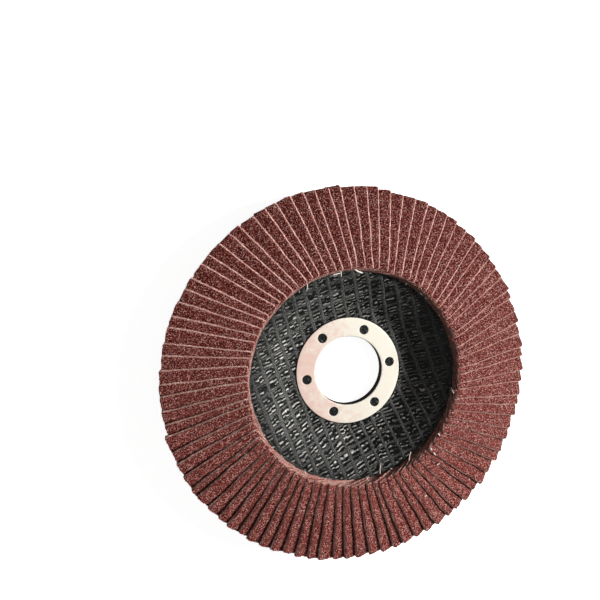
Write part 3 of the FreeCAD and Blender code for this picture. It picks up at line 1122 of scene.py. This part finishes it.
@dataclass
class BoreRing:
    """Pressed steel ring, with rolled edges at its rim, its bore and its key holes."""

    bore: float = 11.115
    rim: float = 17.2
    face: float = 2.75
    metal: float = 0.6
    collar_end: float = 0.3
    collar_row: float = 1.2
    lip: float = 0.1
    rim_cut: float = 0.08
    bend: float = 0.3
    rolled: float = 0.17
    hole: float = 1.5
    circle: float = 13.975
    count: int = 6
    arc_steps: int = 30
    side_steps: int = 12
    nudge: float = 0.0000317

    def sector(self, inner: float, outer: float, hole: float, height: float) -> np.ndarray:
        """Flat sector of the flange round one key hole.

        Rings of points go from the hole's circle to the sector's border, each a straight share of the
        way. The border is the outer arc, a radial side, the inner arc and the other radial side.

        Args:
            inner: Radius of the inner arc.
            outer: Radius of the outer arc.
            hole: Radius of the hole.
            height: Height of the sheet.

        Returns:
            Points by ring and by place round the hole.
        """
        half = math.pi / self.count
        swing = np.linspace(-half, half, self.arc_steps, endpoint=False)
        side = np.linspace(0, 1, self.side_steps, endpoint=False)
        radius = np.concatenate([np.full(self.arc_steps, outer), outer + (inner - outer) * side,
                                 np.full(self.arc_steps, inner), inner + (outer - inner) * side])
        side_turn = np.full(self.side_steps, half)
        azimuth = np.concatenate([swing, side_turn, -swing, -side_turn])
        border = np.stack([radius * np.cos(azimuth), radius * np.sin(azimuth)], axis=-1)
        away = border - [self.circle, 0]
        start = [self.circle, 0] + hole * away / np.linalg.norm(away, axis=1)[:, None]
        share = np.array([0.0, 0.06, 0.25, 0.6, 1.0])[:, None, None]
        flat = start + (border - start) * share
        return np.concatenate([flat, np.full(flat.shape[:2] + (1,), height)], axis=-1)

    def hole_wall(self, round_hole: np.ndarray) -> np.ndarray:
        """Rings from the flange's face over a rolled edge and down the hole to the underside.

        Args:
            round_hole: Unit directions from the hole's centre.

        Returns:
            Points by ring and by place round the hole.
        """
        turn = np.linspace(0, math.pi / 2, 5)
        radius = np.concatenate([self.hole + self.rolled * (1 - np.sin(turn)), [self.hole]])
        height = np.concatenate([self.face - self.rolled * (1 - np.cos(turn)), [self.face - self.metal]])
        flat = [self.circle, 0] + radius[:, None, None] * round_hole
        rows = np.broadcast_to(height[:, None, None], flat.shape[:2] + (1,))
        return np.concatenate([flat, rows], axis=-1)

    def build(self, finish: bpy.types.Material) -> bpy.types.Object:
        """Join the sectors, the hole walls, the rim and the collar into one closed shell.

        Args:
            finish: Material of the ring.

        Returns:
            The piece.
        """
        under = self.face - self.metal
        outside = self.bore + self.metal
        top = self.sector(self.bore + self.bend, self.rim - self.rolled, self.hole + self.rolled, self.face)
        floor = self.sector(outside, self.rim - self.rim_cut, self.hole, under)
        away = top[0, :, :2] - [self.circle, 0]
        wall = self.hole_wall(away / np.linalg.norm(away, axis=1)[:, None])
        floor[0, :, :2] = wall[-1, :, :2]
        grids = []
        for turn in round_angles(self.count):
            x, y = math.cos(turn), math.sin(turn)
            spin = np.array([[x, y, 0], [-y, x, 0], [0, 0, 1]])
            grids += [(top @ spin, False), (wall @ spin, True), (floor @ spin, True)]
        azimuths = round_angles(self.count * self.arc_steps) - math.pi / self.count
        quarter = np.linspace(0, math.pi / 2, 6)
        rim = np.concatenate([
            np.stack([self.rim - self.rolled + self.rolled * np.sin(quarter),
                      self.face - self.rolled + self.rolled * np.cos(quarter)], axis=-1),
            [[self.rim, under + self.rim_cut], [self.rim - self.rim_cut, under]]])
        collar = np.concatenate([
            np.stack([self.bore + self.bend - self.bend * np.sin(quarter),
                      self.face - self.bend + self.bend * np.cos(quarter)], axis=-1),
            [[self.bore, self.collar_row], [self.bore, self.collar_end + self.lip],
             [self.bore + self.lip, self.collar_end], [outside - self.lip, self.collar_end],
             [outside, self.collar_end + self.lip], [outside, under]]])
        grids += [(turned_grid(rim, azimuths), False), (turned_grid(collar, azimuths), True)]
        shells = []
        for grid, flipped in grids:
            quads = grid_faces(grid.shape[0], grid.shape[1], close_columns=True)
            shells.append(Shell(grid.reshape(-1, 3), [quads[:, ::-1] if flipped else quads]))
        whole = joined(shells)
        # The nudge keeps two copies of a point that ends on a half from rounding both ways.
        spots, index = np.unique(np.round(whole.points + self.nudge, 4), axis=0, return_inverse=True)
        faces = index.ravel()[np.concatenate(whole.faces)]
        shell = Shell(spots, [faces]).outward()
        return shell.piece("pressed_ring", Slot.STEEL, finish, ["bore_ring"], crease=50.0)


@dataclass
class AdhesiveFoot:
    """Adhesive squeezed out past the inner ends of the flaps, lumpy and uneven."""

    seat_radius: float = 29.5
    seat_height: float = 10.02
    face_degrees: float = 6.6
    middle: float = 32.55
    half_width: float = 0.45
    width_cell: float = 2.2
    height: float = 0.42
    height_cell: float = 1.6
    lumps: float = 0.28
    lump_cell: float = 0.6
    top_depth: float = 0.05
    foot_depth: float = 0.25
    noise_radius: float = 40.0
    columns: int = 720
    rows: int = 12
    seed: int = 71

    def build(self, finish: bpy.types.Material) -> bpy.types.Object:
        """Carry a low arch round the seat.

        Its height follows the cosine of the way out from its middle, its width and height follow noise
        round the disc, and its underside lies a little inside the seat.

        Args:
            finish: Material of the adhesive.

        Returns:
            The piece.
        """
        noise = SmoothNoise(self.seed)
        azimuths = round_angles(self.columns)[None, :]
        x, y = self.noise_radius * np.cos(azimuths), self.noise_radius * np.sin(azimuths)
        wide = self.half_width * (0.65 + 0.7 * noise(x + 90, y + 90, self.width_cell))
        tall = self.height * (0.35 + 0.95 * noise(x + 200, y + 200, self.height_cell))
        share = np.concatenate([np.linspace(-1, 1, self.rows), np.linspace(1, -1, 5)[1:-1]])[:, None]
        upper = (np.arange(len(share)) < self.rows)[:, None]
        radius = self.middle + wide * share
        slope = math.tan(math.radians(self.face_degrees))
        seat = self.seat_height - (radius - self.seat_radius) * slope
        px, py = radius * np.cos(azimuths), radius * np.sin(azimuths)
        lumps = self.lumps * (noise(px + 80, py + 80, self.lump_cell) - 0.5) * (1 - share**2)
        arch = tall * np.cos(share * math.pi / 2) ** 0.8 + lumps - self.top_depth
        z = seat + np.where(upper, arch, -self.foot_depth)
        points = np.stack([px, py, z], axis=-1)
        faces = [grid_faces(len(share), self.columns, close_rows=True, close_columns=True)]
        return Shell(points.reshape(-1, 3), faces).outward().piece("adhesive_foot", Slot.ADHESIVE, finish)


@dataclass(frozen=True)
class Stray:
    """Thread or scrap of one: place of its root, and how far its tip lies inwards, aside and below."""

    degrees: float
    radius: float
    height: float
    inward: float
    aside: float = 0.0
    drop: float = 0.0
    thickness: float = 0.13


@dataclass
class LooseThreads:
    """Threads that have come away from the cut edges of the cloth."""

    inner_radius: float = 32.6
    foot_height: float = 9.7
    short_count: int = 22
    short_length: tuple[float, float] = (0.3, 0.7)
    short_thickness: float = 0.08
    steps: int = 9
    sides: int = 6
    seed: int = 97
    strays: tuple[Stray, ...] = (
        Stray(-67.0, 33.1, 11.2, 1.8, -2.3, 1.2),
        Stray(-84.5, 32.9, 10.2, 3.4, -1.3, 0.7),
        Stray(-92.5, 33.3, 10.8, 1.2, 0.0, 0.5),
        Stray(-21.0, 32.7, 12.3, 0.4, -1.5, 1.7),
        Stray(-45.0, 32.3, 13.2, -1.0, 0.2, 0.0, 0.2),
        Stray(-53.8, 33.4, 13.1, -1.0, 0.1, 0.2, 0.2),
        Stray(-54.3, 35.5, 12.8, -1.3, 0.1, 0.2, 0.2),
        Stray(-57.2, 39.7, 12.2, -0.4, -1.2, 0.1, 0.2),
        Stray(-69.3, 46.1, 11.3, -0.1, -0.9, 0.1, 0.2),
        Stray(83.1, 33.31, 12.5, 1.36, 2.57, 0.50, 0.24),
        Stray(95.1, 32.56, 12.2, 0.02, 2.59, 0.00, 0.18),
        Stray(90.8, 33.23, 12.4, 1.60, 0.15, 0.80, 0.20),
        Stray(109.0, 33.0, 10.6, 2.1, -1.1, 0.9),
    )

    def tube(self, path: np.ndarray, thickness: float) -> Shell:
        """Closed tube along a path: rings of points in the plane across each step, tapered to the tips.

        Args:
            path: Points of the thread's middle.
            thickness: Radius of the thread.

        Returns:
            The tube.
        """
        ahead = np.gradient(path, axis=0)
        ahead /= np.linalg.norm(ahead, axis=1)[:, None]
        side = np.cross(ahead, [0.13, 0.21, 0.97])
        side /= np.linalg.norm(side, axis=1)[:, None]
        over = np.cross(ahead, side)
        turn = round_angles(self.sides)[None, :, None]
        taper = thickness * (1 - 0.55 * np.linspace(-1, 1, len(path)) ** 6)[:, None, None]
        return capped(path[:, None] + taper * (np.cos(turn) * side[:, None] + np.sin(turn) * over[:, None]))

    def path(self, stray: Stray) -> np.ndarray:
        """Middle of a thread: it leaves straight inwards, and bends aside and down as it goes.

        Args:
            stray: Its root and its tip.

        Returns:
            Points from its root to its tip.
        """
        azimuth = math.radians(stray.degrees)
        share = np.linspace(0, 1, self.steps)[:, None]
        inward = -np.array([math.cos(azimuth), math.sin(azimuth), 0])
        aside = np.array([math.sin(azimuth), -math.cos(azimuth), 0])
        root = -inward * stray.radius + [0, 0, stray.height]
        return root + stray.inward * share * inward + share**1.8 * (stray.aside * aside - [0, 0, stray.drop])

    def build(self, finish: bpy.types.Material) -> bpy.types.Object:
        """Scatter short ends round the feet of the flaps and lay the strays.

        Args:
            finish: Material of the threads.

        Returns:
            The piece.
        """
        random = np.random.default_rng(self.seed)
        ends = [
            Stray(random.uniform(0, 360), self.inner_radius,
                  self.foot_height + random.uniform(0.6, 3.0), random.uniform(*self.short_length),
                  random.normal(0, 0.25), random.uniform(-0.1, 0.3), self.short_thickness)
            for _ in range(self.short_count)
        ]
        tubes = [self.tube(self.path(stray), stray.thickness) for stray in ends + list(self.strays)]
        return joined(tubes).piece("loose_threads", Slot.CLOTH, finish)


@dataclass(frozen=True)
class Viewpoint:
    """Camera at the photograph's place: where it is, what it faces, and its lens."""

    place: tuple[float, float, float] = (-0.040008, 0.048390, 0.154559)
    right: tuple[float, float, float] = (0.963445, -0.153158, 0.219812)
    up: tuple[float, float, float] = (0.170228, 0.983526, -0.060827)
    lens: float = 29.973
    shift: tuple[float, float] = (-0.01614, -0.04572)

    def build(self) -> bpy.types.Object:
        """Add the camera and make it the scene's.

        Returns:
            The camera.
        """
        data = bpy.data.cameras.new("camera")
        data.lens = self.lens
        data.sensor_width = 36.0
        data.sensor_fit = "HORIZONTAL"
        data.shift_x, data.shift_y = self.shift
        data.clip_start = 0.005
        data.clip_end = 20.0
        right, up = Vector(self.right).normalized(), Vector(self.up).normalized()
        back = right.cross(up).normalized()
        up = back.cross(right)
        camera = bpy.data.objects.new("camera", data)
        turn = Matrix((right, up, back)).transposed().to_4x4()
        camera.matrix_world = Matrix.Translation(Vector(self.place)) @ turn
        bpy.context.scene.collection.objects.link(camera)
        bpy.context.scene.camera = camera
        return camera


@dataclass(frozen=True)
class Lamp:
    """Softbox: its direction from the disc, size, distance and strength."""

    name: str
    azimuth: float
    elevation: float
    distance: float
    width: float
    level: float

    def build(self) -> bpy.types.Object:
        """Add the lamp, turned to the disc.

        A small disc of light of power p at the distance d gives a white surface that faces it the
        radiance p / (pi^2 d^2), so a level of 1 shows a colour as it is written.

        Returns:
            The lamp.
        """
        data = bpy.data.lights.new(self.name, "AREA")
        data.shape = "DISK"
        data.size = self.width
        data.energy = self.level * math.pi**2 * self.distance**2
        azimuth, elevation = math.radians(self.azimuth), math.radians(self.elevation)
        toward = Vector((math.cos(azimuth) * math.cos(elevation), math.sin(azimuth) * math.cos(elevation),
                         math.sin(elevation)))
        lamp = bpy.data.objects.new(self.name, data)
        turn = toward.to_track_quat("Z", "Y").to_matrix().to_4x4()
        lamp.matrix_world = Matrix.Translation(toward * self.distance) @ turn
        bpy.context.scene.collection.objects.link(lamp)
        return lamp


@dataclass
class Studio:
    """Pale floor, white surroundings for the camera and for reflections, and two softboxes."""

    floor_size: float = 3.0
    floor_level: float = -0.00001
    floor_glow: float = 0.89
    floor_colour: str = "#e9e9e7"
    fill_level: float = 0.08
    lamps: tuple[Lamp, ...] = (
        Lamp("key", 0.0, 33.0, 0.9, 0.18, 1.93),
        Lamp("fill", 200.0, 66.0, 1.1, 0.8, 0.04),
    )

    def floor(self) -> bpy.types.Object:
        """Add a floor that glows to the camera and to reflections, and takes shadows.

        Returns:
            The floor.
        """
        half = self.floor_size / 2
        mesh = bpy.data.meshes.new("floor")
        corners = ((-half, -half), (half, -half), (half, half), (-half, half))
        mesh.from_pydata([(x, y, self.floor_level) for x, y in corners], [], [(0, 1, 2, 3)])
        tree = FinishTree("pale_floor")
        glow = tree.mix(tree.seen(), "#000000", "#ffffff")
        mesh.materials.append(tree.dress(Base_Color=self.floor_colour, Roughness=0.9, Emission_Color=glow,
                                         Emission_Strength=self.floor_glow))
        floor = bpy.data.objects.new("floor", mesh)
        bpy.context.scene.collection.objects.link(floor)
        return floor

    def world(self) -> None:
        """World that is white to the camera and to reflections, and a soft fill for the rest."""
        tree = FinishTree("studio", world=True)
        strength = tree.seen() * (1 - self.fill_level) + self.fill_level
        bpy.context.scene.world = tree.dress(Color="#ffffff", Strength=strength)

    def build(self) -> None:
        """Add the floor, the world and the lamps."""
        self.floor()
        self.world()
        for lamp in self.lamps:
            lamp.build()
        bpy.context.scene.view_settings.view_transform = "Standard"


def main() -> None:
    """Build the disc's pieces in order, dress them, and set the studio round them."""
    logging.basicConfig(level=logging.INFO, format="%(message)s")
    Viewpoint().build()
    Studio().build()
    flap_nodes = sorted(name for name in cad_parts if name.startswith("flap_pair_"))
    FlapRing(flap_nodes).build(CoatedCloth().material())
    BackingPlate().build(MeshResin().material())
    BoreRing().build(PlatedSteel().material())
    KeyPlugs().build(HardResin("plug_resin", body="#1c201f", dark="#050606", fleck_share=0.08).material())
    adhesive = HardResin("adhesive_resin").material()
    AdhesiveFoot().build(adhesive)
    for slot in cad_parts["adhesive_bead"].material_slots:
        slot.link = "OBJECT"
        slot.material = adhesive
    LooseThreads().build(CottonThread().material())


if __name__ == "__main__":
    main()
